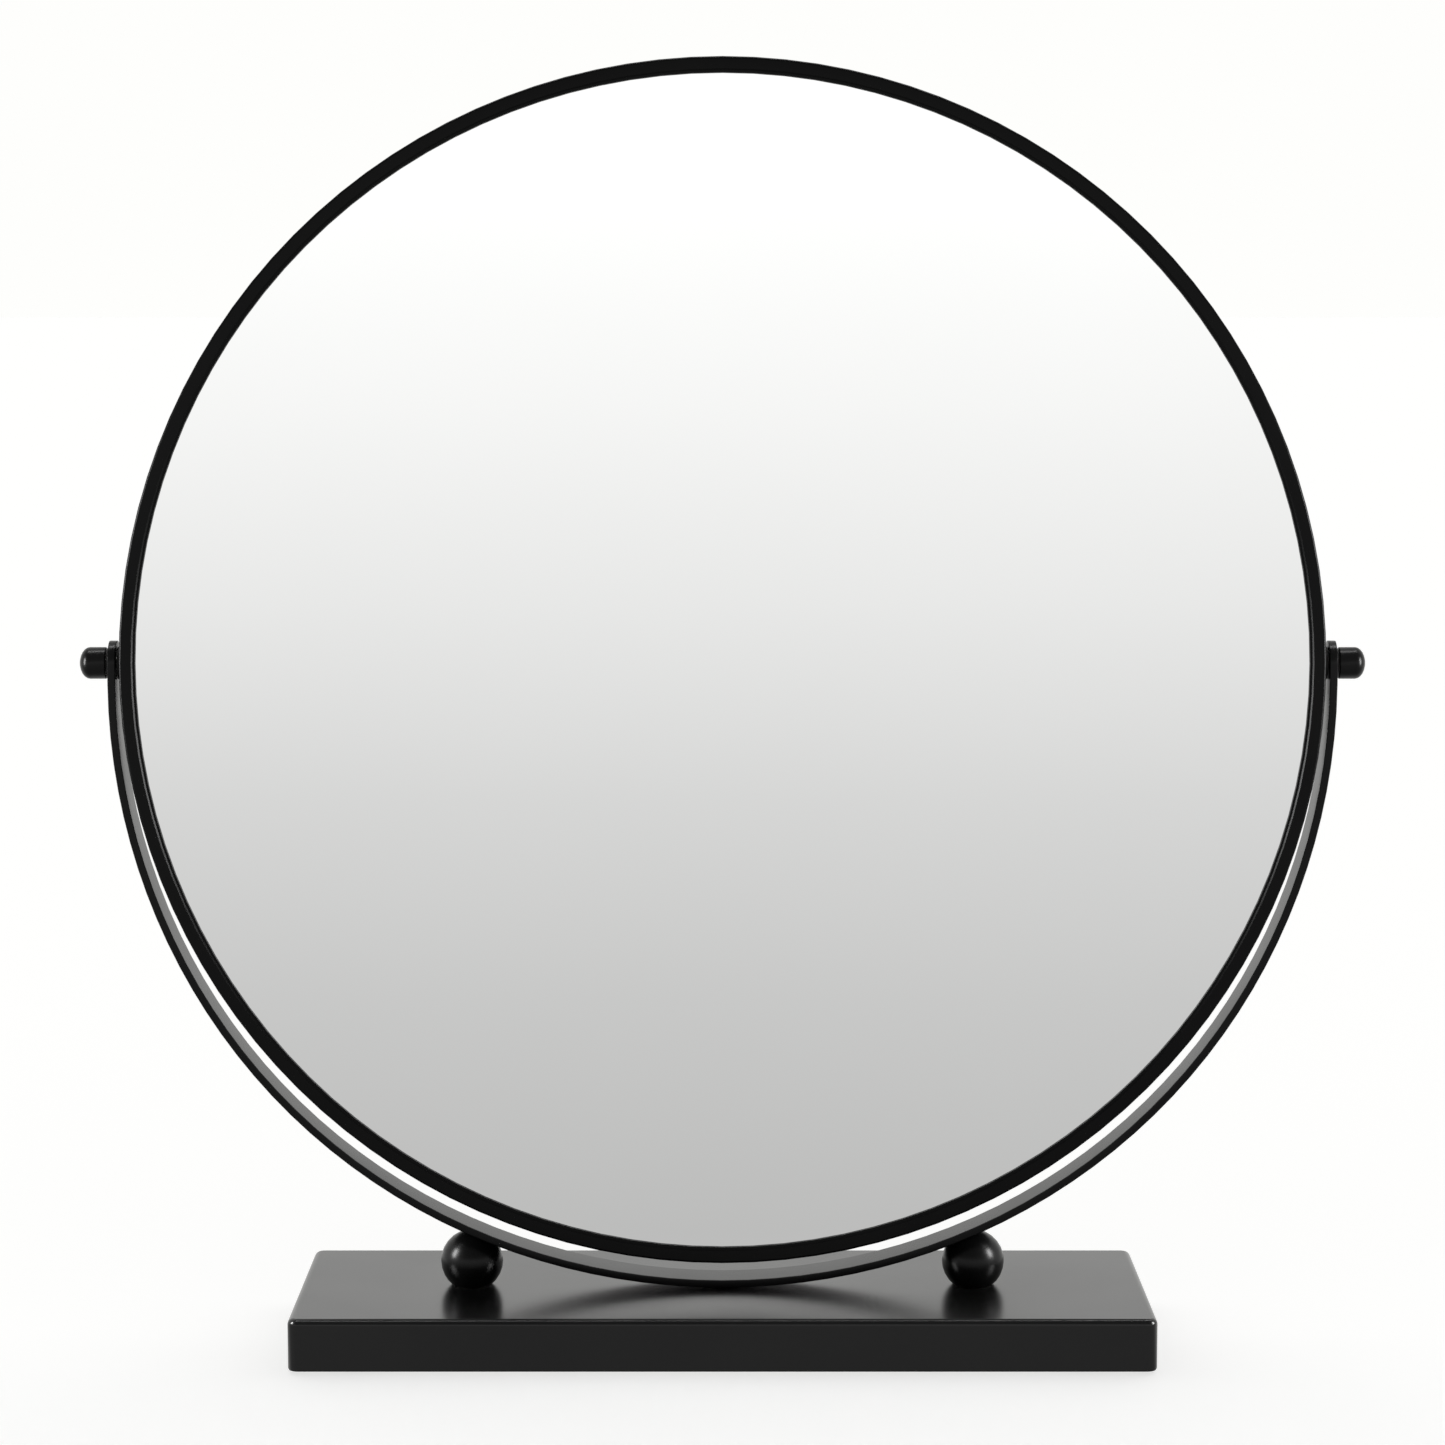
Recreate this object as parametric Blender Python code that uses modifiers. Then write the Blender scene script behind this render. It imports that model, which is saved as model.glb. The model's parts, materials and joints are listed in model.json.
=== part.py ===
"""Countertop mirror: a round tilting mirror held by two knobs in a bent-strip yoke on a rectangular base.

Metres, +Z up, front towards -Y, the tilt axis along X.  The origin is under the middle of the base.
"""
import math

import bmesh
import bpy
from mathutils import Vector

for old in list(bpy.data.objects):
    bpy.data.objects.remove(old, do_unlink=True)

MM = 0.001
GAP = 0.3 * MM                      # working gap between neighbouring pieces

# --- base -----------------------------------------------------------------------------------------
BASE_WIDTH = 285.0 * MM
BASE_DEPTH = 100.0 * MM
BASE_HEIGHT = 17.5 * MM
BASE_CORNER = 3.4 * MM              # radius of the four upright corners
BASE_TOP_EDGE = 2.0 * MM            # rounding round the top
BASE_FOOT_EDGE = 1.0 * MM           # and round the bottom
BASE_WALL = 2.0 * MM
FOOT_SHOWS = 1.0 * MM               # the base stands this far above the table
BASE_TOP = FOOT_SHOWS + BASE_HEIGHT
PLATE_BOTTOM = 3.0 * MM
PLATE_THICK = 1.5 * MM
POST_X = 132.0 * MM
POST_Y = 39.0 * MM
POST_RADIUS = 4.0 * MM
FOOT_X = 118.0 * MM
FOOT_Y = 36.0 * MM
FOOT_RADIUS = 8.0 * MM
BALLAST_SIZE = (236.0 * MM, 86.0 * MM, 6.0 * MM)

# --- yoke: half ring with two upright arms that end in round tabs ---------------------------------
STRIP_WIDTH = 15.0 * MM
STRIP_THICK = 2.6 * MM
STRIP_EDGE = 0.45 * MM
RING_OUTER = 204.0 * MM
RING_BULGE = 0.9 * MM                # the bent strip stands this much proud of a true circle half way down
RING_Z = BASE_TOP + GAP + RING_OUTER
ARM_RISE = 6.7 * MM                 # the tilt axis is this far above the centre of the half ring
PIVOT_Z = RING_Z + ARM_RISE
TAB_RADIUS = STRIP_WIDTH / 2

# --- balls that steady the yoke on the base -------------------------------------------------------
BALL_X = 84.7 * MM
BALL_RADIUS = 10.5 * MM
BALL_Z = BASE_TOP + 8.1 * MM

# --- mirror; depths are measured towards the front from the tilt axis -----------------------------
LEAN = math.radians(-3.4)           # the top of the mirror leans back
RIM_RADIUS = 200.0 * MM
RIM_FRONT = 9.0 * MM
RIM_BACK = -7.0 * MM
RIM_INSIDE = 197.6 * MM
LIP_RADIUS = 194.6 * MM
LIP_FRONT = 8.55 * MM
LIP_BACK = 7.8 * MM
GLASS_RADIUS = 197.1 * MM
GLASS_THICK = 3.0 * MM
PAD_RADIUS = 184.0 * MM
PANEL_RADIUS = 197.2 * MM
PANEL_FRONT = -5.3 * MM
PANEL_THICK = 1.2 * MM
LUG_RADIUS = 191.5 * MM
LUG_COUNT = 6

# --- pivot knobs, measured outwards along the tilt axis -------------------------------------------
BORE = 2.4 * MM                     # clearance radius round an M4 screw
SCREW_RADIUS = 2.0 * MM
KNOB_RADIUS = 5.3 * MM
KNOB_START = 205.0 * MM
KNOB_END = 214.0 * MM
KNOB_DOME = 3.4 * MM                # depth of the elliptical dome on the knob's end

# --- collections and materials --------------------------------------------------------------------
parts = bpy.data.collections.new("countertop_mirror")
tools = bpy.data.collections.new("cutters")
bpy.context.scene.collection.children.link(parts)
bpy.context.scene.collection.children.link(tools)

FINISHES = {
    "black_satin": ((0.018, 0.018, 0.019, 1.0), 0.34, 0.0),
    "mirror_silver": ((0.88, 0.89, 0.89, 1.0), 0.02, 1.0),
    "zinc_steel": ((0.56, 0.56, 0.54, 1.0), 0.35, 1.0),
    "raw_iron": ((0.20, 0.19, 0.18, 1.0), 0.60, 1.0),
    "dark_fibre": ((0.030, 0.028, 0.026, 1.0), 0.70, 0.0),
    "grey_foam": ((0.16, 0.16, 0.17, 1.0), 0.90, 0.0),
    "black_rubber": ((0.022, 0.022, 0.022, 1.0), 0.85, 0.0),
}


def finish(name, slot):
    """A material of the part's own, with the colour, roughness and metalness of one finish."""
    colour, roughness, metallic = FINISHES[slot]
    material = bpy.data.materials.new(slot + "_" + name)
    material.use_nodes = True
    shader = material.node_tree.nodes["Principled BSDF"]
    shader.inputs["Base Color"].default_value = colour
    shader.inputs["Roughness"].default_value = roughness
    shader.inputs["Metallic"].default_value = metallic
    material.diffuse_color = colour
    return material


def add_object(name, mesh, slot=None, parent=None, location=(0, 0, 0), rotation=(0, 0, 0)):
    """Put a mesh in the scene: in the assembly with its finish, or among the cutters without one."""
    obj = bpy.data.objects.new(name, mesh)
    obj.location = location
    obj.rotation_euler = rotation
    obj.parent = parent
    if slot is None:
        tools.objects.link(obj)
        obj.hide_render = True
        obj.display_type = "WIRE"
    else:
        parts.objects.link(obj)
        mesh.materials.append(finish(name, slot))
    return obj


def block_mesh(name, size):
    bm = bmesh.new()
    bmesh.ops.create_cube(bm, size=1.0)
    bmesh.ops.scale(bm, vec=size, verts=bm.verts)
    mesh = bpy.data.meshes.new(name)
    bm.to_mesh(mesh)
    bm.free()
    return mesh


def slab_mesh(name, size, corner, top_edge=0.0, foot_edge=0.0):
    """A flat block with rounded upright corners and, where their radius is not zero, rounded level edges."""
    bm = bmesh.new()
    bmesh.ops.create_cube(bm, size=1.0)
    bmesh.ops.scale(bm, vec=size, verts=bm.verts)
    upright = [e for e in bm.edges if abs(e.verts[0].co.z - e.verts[1].co.z) > size[2] / 2]
    bmesh.ops.bevel(bm, geom=upright, offset=corner, segments=5, profile=0.5, affect="EDGES")
    for radius, side, segments in ((top_edge, 1, 4), (foot_edge, -1, 2)):
        if radius:
            level = [e for e in bm.edges if all(v.co.z * side > size[2] / 2.01 for v in e.verts)]
            bmesh.ops.bevel(bm, geom=level, offset=radius, segments=segments, profile=0.5, affect="EDGES")
    mesh = bpy.data.meshes.new(name)
    bm.to_mesh(mesh)
    bm.free()
    return mesh


def turned_mesh(name, profile, closed):
    """A chain of (radius, height) points in the XZ plane, ready for the Screw modifier."""
    mesh = bpy.data.meshes.new(name)
    count = len(profile)
    edges = [(i, i + 1) for i in range(count - 1)]
    if closed:
        edges.append((count - 1, 0))
    mesh.from_pydata([(r, 0.0, z) for r, z in profile], edges, [])
    return mesh


def turn(obj, steps):
    screw = obj.modifiers.new("turn", "SCREW")
    screw.axis = "Z"
    screw.angle = math.tau
    screw.steps = steps
    screw.render_steps = steps
    screw.use_merge_vertices = True
    screw.merge_threshold = 0.00002
    screw.use_smooth_shade = False
    return screw


def turned(name, profile, steps, slot=None, closed=False, **place):
    """A turned piece about its own Z: the profile runs down the outside, or round a ring."""
    obj = add_object(name, turned_mesh(name, profile, closed), slot, **place)
    turn(obj, steps)
    return obj


def disc_profile(radius, top, bottom, edge):
    return [(0, top), (radius - edge, top), (radius, top - edge), (radius, bottom + edge),
            (radius - edge, bottom), (0, bottom)]


def ring_profile(inner, outer, top, bottom):
    return [(inner, top), (outer, top), (outer, bottom), (inner, bottom)]


def cut(obj, tool, operation="DIFFERENCE"):
    boolean = obj.modifiers.new(tool.name, "BOOLEAN")
    boolean.operation = operation
    boolean.solver = "EXACT"
    boolean.object = tool
    return boolean


def smooth(obj, angle=35.0):
    """Smooth shading across everything but the real edges."""
    bpy.context.view_layer.update()
    graph = bpy.context.evaluated_depsgraph_get()
    mesh = bpy.data.meshes.new_from_object(obj.evaluated_get(graph), preserve_all_data_layers=True,
                                           depsgraph=graph)
    mesh.name = obj.name
    obj.modifiers.clear()
    obj.data = mesh
    mesh.shade_smooth()
    mesh.set_sharp_from_angle(angle=math.radians(angle))


def rod(name, radius, start, end, steps=24, **place):
    """A plain round cutter along its own Z."""
    return turned(name, [(0, end), (radius, end), (radius, start), (0, start)], steps, **place)


def button_screw(name, head, length, steps, **place):
    """A small round-headed screw pointing up its own +Z, with a hexagon socket in the head."""
    screw = turned(name, [(0, length), (1.5 * MM, length), (1.5 * MM, head), (2.8 * MM, head),
                          (2.8 * MM, head - 0.6 * MM), (2.4 * MM, head - 1.1 * MM),
                          (1.7 * MM, head - 1.4 * MM), (0, head - 1.4 * MM)],
                   steps, "zinc_steel", **place)
    cut(screw, rod(name + "_socket", 1.15 * MM, head - 2 * MM, head - 0.6 * MM, 6, **place))
    smooth(screw)
    return screw


FACE_FRONT = (math.pi / 2, 0, 0)                        # own +Z towards the front
OUTWARD = {"left": (0, -math.pi / 2, 0), "right": (0, math.pi / 2, 0)}      # own +Z outwards along X
SIDES = (("left", -1), ("right", 1))

# --- base shell -----------------------------------------------------------------------------------
shell = add_object("base_shell",
                   slab_mesh("base_shell", (BASE_WIDTH, BASE_DEPTH, BASE_HEIGHT), BASE_CORNER,
                             BASE_TOP_EDGE, BASE_FOOT_EDGE),
                   "black_satin", location=(0, 0, FOOT_SHOWS + BASE_HEIGHT / 2))
hollow_top = BASE_TOP - BASE_WALL
hollow = add_object("shell_hollow",
                    slab_mesh("shell_hollow", (BASE_WIDTH - 2 * BASE_WALL, BASE_DEPTH - 2 * BASE_WALL,
                                               hollow_top), 1.5 * MM),
                    location=(0, 0, hollow_top / 2))
cut(shell, hollow)
post_foot = PLATE_BOTTOM + PLATE_THICK + GAP
for ix in (-1, 1):
    for iy in (-1, 1):
        place = {"location": (ix * POST_X, iy * POST_Y, 0)}
        post = rod("shell_post_%d_%d" % (ix, iy), POST_RADIUS, post_foot, hollow_top + 0.5 * MM, 20, **place)
        cut(shell, post, "UNION")
        cut(shell, rod("shell_tap_%d_%d" % (ix, iy), 1.8 * MM, 0, post_foot + 8.0 * MM, 16, **place))
for label, x in (("left", -BALL_X), ("centre", 0.0), ("right", BALL_X)):
    cut(shell, rod("shell_hole_" + label, BORE, hollow_top - 1 * MM, BASE_TOP + 1 * MM,
                   location=(x, 0, 0)))
smooth(shell)

# --- bottom plate with its four screws, feet and the ballast --------------------------------------
plate = add_object("base_bottom_plate",
                   slab_mesh("base_bottom_plate", (BASE_WIDTH - 2 * BASE_WALL - 1.0 * MM,
                                                   BASE_DEPTH - 2 * BASE_WALL - 1.0 * MM, PLATE_THICK),
                             1.5 * MM),
                   "zinc_steel", location=(0, 0, PLATE_BOTTOM + PLATE_THICK / 2))
for ix in (-1, 1):
    for iy in (-1, 1):
        cut(plate, rod("plate_hole_%d_%d" % (ix, iy), 1.9 * MM, 0, 8 * MM, 16,
                       location=(ix * POST_X, iy * POST_Y, 0)))
smooth(plate)

CORNERS = (("front_left", -1, -1), ("front_right", 1, -1), ("rear_left", -1, 1), ("rear_right", 1, 1))
head_top = PLATE_BOTTOM - GAP
for label, ix, iy in CORNERS:
    button_screw("plate_screw_" + label, head_top, post_foot + 6.0 * MM, 18,
                 location=(ix * POST_X, iy * POST_Y, 0))
    foot = turned("foot_" + label, disc_profile(FOOT_RADIUS, head_top, 0.0, 0.4 * MM), 28, "black_rubber",
                  location=(ix * FOOT_X, iy * FOOT_Y, 0))
    smooth(foot)

ballast = add_object("base_ballast", slab_mesh("base_ballast", BALLAST_SIZE, 3.0 * MM), "raw_iron",
                     location=(0, 0, post_foot + BALLAST_SIZE[2] / 2))
smooth(ballast)

# --- yoke -----------------------------------------------------------------------------------------
ARC_STEPS = 72
TAB_STEPS = 7
TAB_LAST = math.radians(80.0)


def ring_radius(angle):
    """Outer radius of the bent strip at an angle from the level diameter."""
    return RING_OUTER + RING_BULGE * math.sin(2 * angle) ** 2


def yoke_stations():
    """Stations along the strip: (outward x, outward z, outer radius, rise above ring centre, half width)."""
    stations = []
    for i in range(TAB_STEPS):
        angle = TAB_LAST * (TAB_STEPS - i) / TAB_STEPS
        rise = ARM_RISE + TAB_RADIUS * math.sin(angle)
        stations.append((-1.0, 0.0, RING_OUTER, rise, TAB_RADIUS * math.cos(angle)))
    stations.append((-1.0, 0.0, RING_OUTER, ARM_RISE, TAB_RADIUS))
    for i in range(ARC_STEPS + 1):
        angle = math.pi + math.pi * i / ARC_STEPS
        stations.append((math.cos(angle), math.sin(angle), ring_radius(angle), 0.0, TAB_RADIUS))
    stations.append((1.0, 0.0, RING_OUTER, ARM_RISE, TAB_RADIUS))
    for i in range(1, TAB_STEPS + 1):
        angle = TAB_LAST * i / TAB_STEPS
        rise = ARM_RISE + TAB_RADIUS * math.sin(angle)
        stations.append((1.0, 0.0, RING_OUTER, rise, TAB_RADIUS * math.cos(angle)))
    return stations


def strip_section(half):
    """The strip's cross section, outer face first, with its four long edges rounded: (depth in, y) pairs."""
    corner = []
    for degrees in (0, 45, 90):
        a = math.radians(degrees)
        corner.append((STRIP_EDGE * (1 - math.cos(a)), half - STRIP_EDGE * (1 - math.sin(a))))
    front_outer = [(depth, -y) for depth, y in reversed(corner)]
    back_outer = corner
    back_inner = [(STRIP_THICK - depth, y) for depth, y in reversed(corner)]
    front_inner = [(STRIP_THICK - depth, -y) for depth, y in corner]
    return front_outer + back_outer + back_inner + front_inner


def yoke_mesh():
    bm = bmesh.new()
    loops = []
    for out_x, out_z, outer, rise, half in yoke_stations():
        loop = []
        for depth, y in strip_section(half):
            radius = outer - depth
            loop.append(bm.verts.new((radius * out_x, y, radius * out_z + rise)))
        loops.append(loop)
    for near, far in zip(loops, loops[1:]):
        for k in range(len(near)):
            m = (k + 1) % len(near)
            bm.faces.new((near[k], near[m], far[m], far[k]))
    bm.faces.new(list(reversed(loops[0])))
    bm.faces.new(loops[-1])
    bmesh.ops.recalc_face_normals(bm, faces=bm.faces)
    mesh = bpy.data.meshes.new("yoke")
    bm.to_mesh(mesh)
    bm.free()
    return mesh


yoke = add_object("yoke", yoke_mesh(), "black_satin", location=(0, 0, RING_Z))
for label, sign in SIDES:
    cut(yoke, rod("tab_hole_" + label, BORE, 198 * MM, 208 * MM,
                  location=(0, 0, PIVOT_Z), rotation=OUTWARD[label]))
cut(yoke, rod("yoke_tap", BORE, RING_Z - RING_OUTER - 1 * MM, RING_Z - RING_OUTER + 2.0 * MM))
smooth(yoke)

# --- balls, their dowels into the yoke, and the screws from inside the base -----------------------
for label, sign in SIDES:
    centre = Vector((sign * BALL_X, 0, BALL_Z))
    ring_centre = Vector((0, 0, RING_Z))
    away = (centre - ring_centre).normalized()
    contact = ring_centre + away * (ring_radius(math.atan2(away.z, away.x)) + GAP)
    towards_ring = (-away).to_track_quat("Z", "Y").to_euler()
    ball_bore_top = BALL_Z - 1.5 * MM

    bm = bmesh.new()
    bmesh.ops.create_uvsphere(bm, u_segments=24, v_segments=14, radius=BALL_RADIUS)
    ball_mesh = bpy.data.meshes.new("ball_" + label)
    bm.to_mesh(ball_mesh)
    bm.free()
    ball = add_object("ball_" + label, ball_mesh, "black_satin", location=centre)
    cut(ball, add_object("ball_seat_" + label, block_mesh("ball_seat_" + label, (24 * MM, 24 * MM, 8 * MM)),
                         location=(sign * BALL_X, 0, BASE_TOP + GAP - 4 * MM)))
    saddle = block_mesh("ball_saddle_" + label, (12 * MM, 12 * MM, 4 * MM))
    cut(ball, add_object("ball_saddle_" + label, saddle, location=contact - away * 2 * MM,
                         rotation=towards_ring))
    cut(ball, rod("ball_dowel_bore_" + label, BORE, -5.6 * MM, 1 * MM, 20,
                  location=contact, rotation=towards_ring))
    cut(ball, rod("ball_screw_bore_" + label, BORE, BASE_TOP - 2 * MM, ball_bore_top, 20,
                  location=(sign * BALL_X, 0, 0)))
    smooth(ball)
    dowel = turned("ball_dowel_" + label, disc_profile(2.0 * MM, 0.0, -5.2 * MM, 0.3 * MM), 20, "zinc_steel",
                   location=contact, rotation=towards_ring)
    smooth(dowel)

washer_top = hollow_top - GAP
head_top = washer_top - 1.0 * MM - GAP
for label, x, tip in (("left", -BALL_X, BALL_Z - 2.0 * MM), ("centre", 0.0, BASE_TOP + GAP + 1.6 * MM),
                      ("right", BALL_X, BALL_Z - 2.0 * MM)):
    washer = turned("base_washer_" + label, ring_profile(BORE, 5.0 * MM, washer_top, washer_top - 1.0 * MM),
                    24, "zinc_steel", closed=True, location=(x, 0, 0))
    smooth(washer)
    screw = turned("base_screw_" + label,
                   [(0, tip), (1.7 * MM, tip), (SCREW_RADIUS, tip - 0.3 * MM), (SCREW_RADIUS, head_top),
                    (3.5 * MM, head_top), (3.5 * MM, head_top - 1.8 * MM), (2.7 * MM, head_top - 2.4 * MM),
                    (0, head_top - 2.4 * MM)],
                   24, "zinc_steel", location=(x, 0, 0))
    smooth(screw)

# --- mirror: everything below hangs from one empty on the tilt axis -------------------------------
pivot = bpy.data.objects.new("mirror_pivot", None)
pivot.location = (0, 0, PIVOT_Z)
pivot.rotation_euler = (LEAN, 0, 0)
parts.objects.link(pivot)

round_edge = 0.9 * MM
corner_r = RIM_RADIUS - round_edge
corner_h = RIM_FRONT - round_edge
rim_profile = [(LIP_RADIUS + 0.85 * MM, LIP_FRONT), (LIP_RADIUS + 1.3 * MM, RIM_FRONT)]
for degrees in (90, 60, 30, 0):
    a = math.radians(degrees)
    rim_profile.append((corner_r + round_edge * math.cos(a), corner_h + round_edge * math.sin(a)))
rim_profile += [(RIM_RADIUS, RIM_BACK + 0.6 * MM), (RIM_RADIUS - 0.6 * MM, RIM_BACK), (RIM_INSIDE, RIM_BACK),
                (RIM_INSIDE, LIP_BACK), (LIP_RADIUS, LIP_BACK), (LIP_RADIUS, LIP_FRONT)]
rim = turned("rim", rim_profile, 120, "black_satin", closed=True, parent=pivot, rotation=FACE_FRONT)
for k in range(LUG_COUNT):
    angle = math.radians(30 + 60 * k)
    lug_at = (LUG_RADIUS * math.cos(angle) * 1.008, 3.5 * MM, LUG_RADIUS * math.sin(angle) * 1.008)
    lug = add_object("lug_%d" % (k + 1), block_mesh("lug_%d" % (k + 1), (11.0 * MM, 3.0 * MM, 8.0 * MM)),
                     parent=pivot, location=lug_at, rotation=(0, -angle, 0))
    cut(rim, lug, "UNION")
    cut(rim, rod("lug_tap_%d" % (k + 1), 1.8 * MM, -6 * MM, -1 * MM, 16, parent=pivot, rotation=FACE_FRONT,
                 location=(LUG_RADIUS * math.cos(angle), 0, LUG_RADIUS * math.sin(angle))))
for label, sign in SIDES:
    cut(rim, rod("rim_hole_" + label, BORE, 195 * MM, 202 * MM, parent=pivot, rotation=OUTWARD[label]))
smooth(rim)

glass_front = LIP_BACK - GAP
glass_back = glass_front - GLASS_THICK
glass = turned("mirror_glass", disc_profile(GLASS_RADIUS, glass_front, glass_back, 0.4 * MM), 120,
               "mirror_silver", parent=pivot, rotation=FACE_FRONT)
smooth(glass)
pad = turned("foam_backing", disc_profile(PAD_RADIUS, glass_back - GAP, PANEL_FRONT + GAP, 0.5 * MM), 48,
             "grey_foam", parent=pivot, rotation=FACE_FRONT)
smooth(pad)
panel = turned("back_panel",
               [(0, PANEL_FRONT), (PANEL_RADIUS, PANEL_FRONT),
                (PANEL_RADIUS, PANEL_FRONT - PANEL_THICK + 0.3 * MM),
                (PANEL_RADIUS - 0.3 * MM, PANEL_FRONT - PANEL_THICK), (0, PANEL_FRONT - PANEL_THICK)],
               96, "black_satin", parent=pivot, rotation=FACE_FRONT)
for k in range(LUG_COUNT):
    angle = math.radians(30 + 60 * k)
    at = (LUG_RADIUS * math.cos(angle), 0, LUG_RADIUS * math.sin(angle))
    cut(panel, rod("panel_hole_%d" % (k + 1), 1.9 * MM, -10 * MM, 0, 16, parent=pivot, rotation=FACE_FRONT,
                   location=at))
    head = PANEL_FRONT - PANEL_THICK - GAP
    button_screw("panel_screw_%d" % (k + 1), head, -2.6 * MM, 18, parent=pivot, rotation=FACE_FRONT,
                 location=at)
smooth(panel)

# --- pivots: weld nut inside the rim, spacer, then washer, knob and its screw ---------------------
for label, sign in SIDES:
    along = {"parent": pivot, "rotation": OUTWARD[label]}
    nut = turned("pivot_nut_" + label, ring_profile(BORE, 4.0 * MM, 197.2 * MM, 188.2 * MM), 24, "zinc_steel",
                 closed=True, **along)
    smooth(nut)
    spacer = turned("spacer_" + label, ring_profile(BORE, 5.5 * MM, 201.1 * MM, 200.3 * MM), 28, "dark_fibre",
                    closed=True, **along)
    smooth(spacer)
    washer = turned("knob_washer_" + label, ring_profile(BORE, 4.8 * MM, 204.7 * MM, 204.3 * MM), 28,
                    "dark_fibre", closed=True, **along)
    smooth(washer)
    dome_start = KNOB_END - KNOB_DOME
    knob_profile = [(KNOB_RADIUS * math.cos(math.radians(degrees)),
                     dome_start + KNOB_DOME * math.sin(math.radians(degrees)))
                    for degrees in (90, 75, 60, 45, 30, 15, 0)]
    knob_profile += [(KNOB_RADIUS, KNOB_START + 0.3 * MM),
                     (KNOB_RADIUS - 0.3 * MM, KNOB_START), (BORE, KNOB_START), (BORE, KNOB_START + 5.4 * MM),
                     (0, KNOB_START + 5.4 * MM)]
    knob = turned("knob_" + label, knob_profile, 32, "black_satin", **along)
    smooth(knob)
    screw = turned("knob_screw_" + label,
                   [(0, KNOB_START + 5.0 * MM), (1.8 * MM, KNOB_START + 5.0 * MM),
                    (SCREW_RADIUS, KNOB_START + 4.7 * MM), (SCREW_RADIUS, 190.3 * MM), (1.7 * MM, 190.0 * MM),
                    (0, 190.0 * MM)],
                   24, "zinc_steel", **along)
    smooth(screw)
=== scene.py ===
import json
import math

import bpy
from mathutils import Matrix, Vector

# Looks for the countertop mirror: camera, studio, finer surfaces and the finish of every piece.
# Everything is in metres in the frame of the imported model, which is never moved or reshaped.

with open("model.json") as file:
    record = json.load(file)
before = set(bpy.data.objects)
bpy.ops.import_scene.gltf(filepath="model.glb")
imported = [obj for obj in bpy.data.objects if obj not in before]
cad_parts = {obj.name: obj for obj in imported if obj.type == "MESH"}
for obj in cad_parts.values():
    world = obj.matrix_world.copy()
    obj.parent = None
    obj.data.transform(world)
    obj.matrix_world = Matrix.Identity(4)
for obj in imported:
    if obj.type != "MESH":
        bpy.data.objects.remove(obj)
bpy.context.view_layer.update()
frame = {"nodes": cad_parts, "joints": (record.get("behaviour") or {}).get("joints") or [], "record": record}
nodes = frame["nodes"]
slot_of = {entry["node"]: entry["material_slot"] for entry in frame["record"]["subparts"]}
tilt_axis = Vector(next(j for j in frame["joints"] if j["name"] == "mirror_tilt")["pos_m"])
scene = bpy.context.scene
MM = 0.001                          # lengths are in metres; small ones are written as multiples of MM

# --- camera: level with the upper half of the mirror, looking slightly down -----------------------
CAMERA_DISTANCE = 1.3891
CAMERA_RISE = 0.1305                # above the tilt axis
CAMERA_PITCH = math.radians(6.182)  # looking down
CAMERA_LENS = 104.334               # mm, on a sensor 36 mm wide
camera_data = bpy.data.cameras.new("camera")
camera_data.sensor_width = 36.0
camera_data.lens = CAMERA_LENS
camera = bpy.data.objects.new("camera", camera_data)
camera.location = (0.0, -CAMERA_DISTANCE, tilt_axis.z + CAMERA_RISE)
camera.rotation_euler = (math.radians(90.0) - CAMERA_PITCH, 0.0, 0.0)
scene.collection.objects.link(camera)
scene.camera = camera

# --- colour and sampling --------------------------------------------------------------------------
scene.view_settings.view_transform = "Standard"
scene.view_settings.look = "None"
scene.cycles.use_denoising = True
scene.cycles.max_bounces = 8
scene.cycles.glossy_bounces = 6
scene.cycles.sample_clamp_indirect = 4.0


# --- small helpers for node trees -----------------------------------------------------------------
def add_node(tree, kind, values=None, **links):
    """A new node with its input values set by name, and its inputs fed by the given sockets."""
    node = tree.nodes.new(kind)
    for name, value in (values or {}).items():
        node.inputs[name].default_value = value
    for name, socket in links.items():
        tree.links.new(socket, node.inputs[name.replace("_", " ")])
    return node


def remap(tree, socket, low, high, new_low, new_high, smooth=False):
    """The socket's value moved from one range to another, and held inside the new one."""
    ranges = {"From Min": low, "From Max": high, "To Min": new_low, "To Max": new_high}
    node = add_node(tree, "ShaderNodeMapRange", ranges, Value=socket)
    if smooth:
        node.interpolation_type = "SMOOTHSTEP"
    return node.outputs["Result"]


def mix_colours(tree, factor, first, second):
    """A blend of two colours, each given as a colour or as a socket."""
    node = add_node(tree, "ShaderNodeMix", Factor=factor)
    node.data_type = "RGBA"
    # inputs 6 and 7 and output 2 are the colour sockets; the others are for numbers and vectors
    for index, colour in ((6, first), (7, second)):
        if isinstance(colour, tuple):
            node.inputs[index].default_value = (*colour, 1.0)
        else:
            tree.links.new(colour, node.inputs[index])
    return node.outputs[2]


# --- world: white behind the object, darker towards the floor in front of it ----------------------
# FRONT_ROOM is what the glass and the coat mirror: brightness by the sine of the elevation.
# BACK_ROOM is behind the object, and is the plain backdrop from every side.
FRONT_ROOM = ((-1.0, 0.30), (-0.11, 0.535), (-0.055, 0.613), (-0.008, 0.714), (0.04, 0.861),
              (0.088, 0.986), (0.135, 1.08), (0.20, 1.12), (0.27, 0.22), (1.0, 0.20))
BACK_ROOM = (0.991, 0.991, 0.975)

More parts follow.
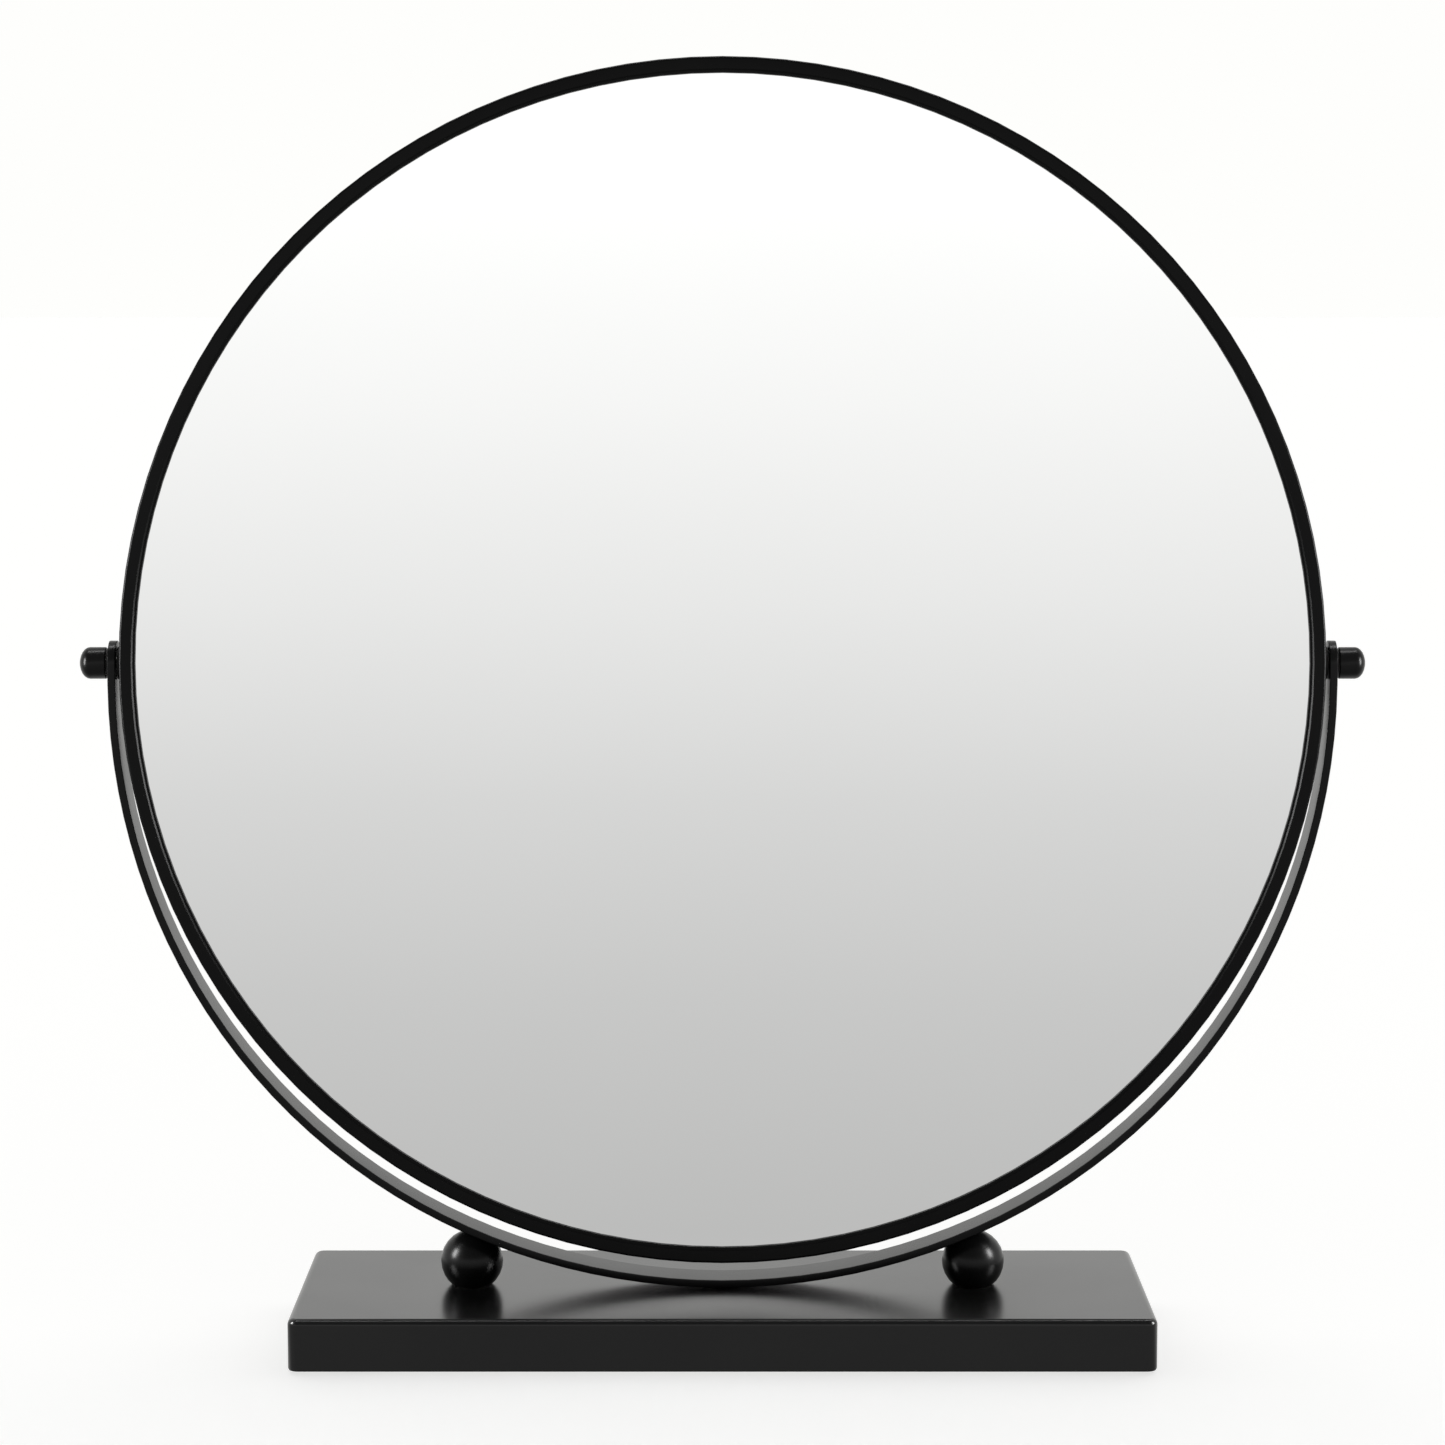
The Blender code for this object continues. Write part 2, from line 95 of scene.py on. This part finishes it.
world = bpy.data.worlds.new("studio")
scene.world = world
world.use_nodes = True
tree = world.node_tree
tree.nodes.clear()
look = add_node(tree, "ShaderNodeTexCoord").outputs["Generated"]
direction = add_node(tree, "ShaderNodeSeparateXYZ", Vector=look)
ramp = add_node(tree, "ShaderNodeValToRGB", Fac=remap(tree, direction.outputs["Z"], -1, 1, 0, 1))
stops = ramp.color_ramp.elements
while len(stops) < len(FRONT_ROOM):
    stops.new(0.5)
for stop, (sine, level) in zip(stops, FRONT_ROOM):
    stop.position = (sine + 1.0) / 2.0
    stop.color = (level, level, level * 0.993, 1.0)
behind = remap(tree, direction.outputs["Y"], -0.2, 0.5, 0, 1, smooth=True)
room = mix_colours(tree, behind, ramp.outputs["Color"], BACK_ROOM)
seen_directly = add_node(tree, "ShaderNodeLightPath").outputs["Is Camera Ray"]
backdrop = mix_colours(tree, seen_directly, room, BACK_ROOM)
background = add_node(tree, "ShaderNodeBackground", Color=backdrop)
add_node(tree, "ShaderNodeOutputWorld", Surface=background.outputs[0])

# --- floor: white and faintly glowing, so that only the soft contact shadow shows -----------------
FLOOR_HALF = 30.0
FLOOR_COLOUR = (0.60, 0.60, 0.598, 1.0)
FLOOR_GLOW = (1.0, 1.0, 0.995, 1.0)
FLOOR_GLOW_STRENGTH = 0.67
floor_mesh = bpy.data.meshes.new("floor")
floor_mesh.from_pydata([(-FLOOR_HALF, -FLOOR_HALF, 0), (FLOOR_HALF, -FLOOR_HALF, 0),
                        (FLOOR_HALF, FLOOR_HALF, 0), (-FLOOR_HALF, FLOOR_HALF, 0)], [], [(0, 1, 2, 3)])
floor = bpy.data.objects.new("floor", floor_mesh)
scene.collection.objects.link(floor)
floor.visible_glossy = False
floor_material = bpy.data.materials.new("floor")
floor_material.use_nodes = True
shader = floor_material.node_tree.nodes["Principled BSDF"]
shader.inputs["Base Color"].default_value = FLOOR_COLOUR
shader.inputs["Roughness"].default_value = 0.7
shader.inputs["Specular IOR Level"].default_value = 0.0
shader.inputs["Emission Color"].default_value = FLOOR_GLOW
shader.inputs["Emission Strength"].default_value = FLOOR_GLOW_STRENGTH
floor_mesh.materials.append(floor_material)

# --- softboxes: upright ones left and right, a little in front, and a long one overhead -----------
# each: place, point it is aimed at, width and height, power in watts; they leave the floor alone
SOFTBOXES = {
    "left": ((-0.62, -0.17, 0.30), (-0.1, 0.0, 0.08), (0.15, 0.26), 5.0),
    "right": ((0.62, -0.17, 0.30), (0.1, 0.0, 0.08), (0.15, 0.26), 5.0),
    "overhead": ((0.0, 0.12, 1.15), (0.0, 0.0, 0.2), (1.0, 0.12), 6.0),
}
object_only = bpy.data.collections.new("lit_by_softboxes")
for obj in nodes.values():
    object_only.objects.link(obj)
for label, (place, target, size, power) in SOFTBOXES.items():
    light = bpy.data.lights.new("softbox_" + label, "AREA")
    light.shape = "RECTANGLE"
    light.size, light.size_y = size
    light.energy = power
    softbox = bpy.data.objects.new("softbox_" + label, light)
    softbox.location = place
    softbox.rotation_euler = (Vector(target) - Vector(place)).to_track_quat("-Z", "Y").to_euler()
    softbox.visible_camera = False
    softbox.light_linking.receiver_collection = object_only
    scene.collection.objects.link(softbox)


# --- fine surface: facets shaded as the smooth or creased faces they stand for --------------------
CREASE_ANGLE = 36.0                 # degrees; a sharper edge stays sharp
JOIN_DISTANCE = 0.002 * MM


def fine_surface_group():
    """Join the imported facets, drop their flat normals and shade them smooth between the creases."""
    group = bpy.data.node_groups.new("fine_surface", "GeometryNodeTree")
    group.interface.new_socket("Geometry", in_out="INPUT", socket_type="NodeSocketGeometry")
    group.interface.new_socket("Geometry", in_out="OUTPUT", socket_type="NodeSocketGeometry")
    start = add_node(group, "NodeGroupInput")
    plain = add_node(group, "GeometryNodeRemoveAttribute", {"Name": "custom_normal"},
                     Geometry=start.outputs["Geometry"])
    joined = add_node(group, "GeometryNodeMergeByDistance", {"Distance": JOIN_DISTANCE},
                      Geometry=plain.outputs["Geometry"])
    smooth = add_node(group, "GeometryNodeSetShadeSmooth", {"Shade Smooth": True},
                      Geometry=joined.outputs["Geometry"])
    angle = add_node(group, "GeometryNodeInputMeshEdgeAngle")
    crease = add_node(group, "FunctionNodeCompare", {"B": math.radians(CREASE_ANGLE)},
                      A=angle.outputs["Unsigned Angle"])
    crease.operation = "GREATER_THAN"
    sharp = add_node(group, "GeometryNodeSetShadeSmooth", {"Shade Smooth": False},
                     Geometry=smooth.outputs["Geometry"], Selection=crease.outputs["Result"])
    sharp.domain = "EDGE"
    end = add_node(group, "NodeGroupOutput")
    group.links.new(sharp.outputs["Geometry"], end.inputs["Geometry"])
    return group


fine_surface = fine_surface_group()
for obj in nodes.values():
    obj.modifiers.new("fine_surface", "NODES").node_group = fine_surface
    flat_faces = obj.modifiers.new("flat_faces", "WEIGHTED_NORMAL")
    flat_faces.keep_sharp = True


# --- finishes -------------------------------------------------------------------------------------
def noise(tree, coords, size, detail):
    """Noise whose blotches are about the given size across, in metres."""
    values = {"Scale": 1.0 / size, "Detail": detail, "Roughness": 0.55}
    return add_node(tree, "ShaderNodeTexNoise", values, Vector=coords).outputs["Fac"]


def finish(name, dark, light, rough, patch, grain, relief, metallic=0.0, specular=0.5):
    """A finish whose colour and roughness drift over patches, under a fine relief.

    dark and light are the ends of the colour drift and rough those of the roughness; patch and grain
    are the sizes of the drift and the relief, and relief is its depth.
    """
    material = bpy.data.materials.new(name)
    material.use_nodes = True
    tree = material.node_tree
    shader = tree.nodes["Principled BSDF"]
    shader.inputs["Metallic"].default_value = metallic
    shader.inputs["Specular IOR Level"].default_value = specular
    coords = add_node(tree, "ShaderNodeTexCoord").outputs["Object"]
    drift = noise(tree, coords, patch, detail=4.0)
    fine = noise(tree, coords, grain, detail=2.0)
    colour = mix_colours(tree, remap(tree, drift, 0.35, 0.65, 0, 1), dark, light)
    tree.links.new(colour, shader.inputs["Base Color"])
    tree.links.new(remap(tree, drift, 0.3, 0.7, *rough), shader.inputs["Roughness"])
    bump = add_node(tree, "ShaderNodeBump", {"Distance": relief}, Height=fine)
    tree.links.new(bump.outputs["Normal"], shader.inputs["Normal"])
    return material


def satin(name, level, rough, specular):
    """Black satin powder coat: nearly black, with a fine orange-peel relief."""
    dark = (level * 0.8, level * 0.8, level * 0.83)
    light = (level * 1.2, level * 1.2, level * 1.18)
    return finish(name, dark, light, rough, patch=60 * MM, grain=1.1 * MM, relief=0.008 * MM,
                  specular=specular)


# level of grey, range of roughness and specular level; the slab has the glossiest coat, the back the dullest
SATIN = {
    "rim": satin("satin_rim", 0.0020, (0.24, 0.30), 0.08),
    "back_panel": satin("satin_panel", 0.0040, (0.34, 0.42), 0.20),
    "yoke": satin("satin_yoke", 0.0022, (0.24, 0.30), 0.15),
    "base_shell": satin("satin_base", 0.0015, (0.20, 0.25), 0.40),
    "ball_left": satin("satin_ball", 0.0018, (0.26, 0.30), 0.20),
    "knob_left": satin("satin_knob", 0.0026, (0.26, 0.32), 0.14),
}
SATIN["ball_right"] = SATIN["ball_left"]
SATIN["knob_right"] = SATIN["knob_left"]

FINISHES = {
    "mirror_silver": finish("mirror_silver", (0.935, 0.938, 0.935), (0.945, 0.948, 0.945), (0.0, 0.012),
                            patch=200 * MM, grain=250 * MM, relief=0.0, metallic=1.0),
    "zinc_steel": finish("zinc_steel", (0.42, 0.42, 0.41), (0.55, 0.54, 0.51), (0.30, 0.45),
                         patch=8 * MM, grain=0.6 * MM, relief=0.01 * MM, metallic=1.0),
    "raw_iron": finish("raw_iron", (0.10, 0.095, 0.09), (0.19, 0.18, 0.17), (0.55, 0.80),
                       patch=25 * MM, grain=2.0 * MM, relief=0.08 * MM, metallic=0.8),
    "dark_fibre": finish("dark_fibre", (0.008, 0.008, 0.008), (0.016, 0.015, 0.014), (0.60, 0.75),
                         patch=5 * MM, grain=0.4 * MM, relief=0.03 * MM, specular=0.3),
    "grey_foam": finish("grey_foam", (0.12, 0.12, 0.125), (0.18, 0.18, 0.19), (0.85, 0.95),
                        patch=16 * MM, grain=0.7 * MM, relief=0.2 * MM, specular=0.2),
    "black_rubber": finish("black_rubber", (0.012, 0.012, 0.012), (0.022, 0.022, 0.021), (0.70, 0.85),
                           patch=11 * MM, grain=0.5 * MM, relief=0.03 * MM, specular=0.3),
}
for node, obj in nodes.items():
    obj.data.materials.clear()
    obj.data.materials.append(SATIN.get(node) or FINISHES[slot_of[node]])
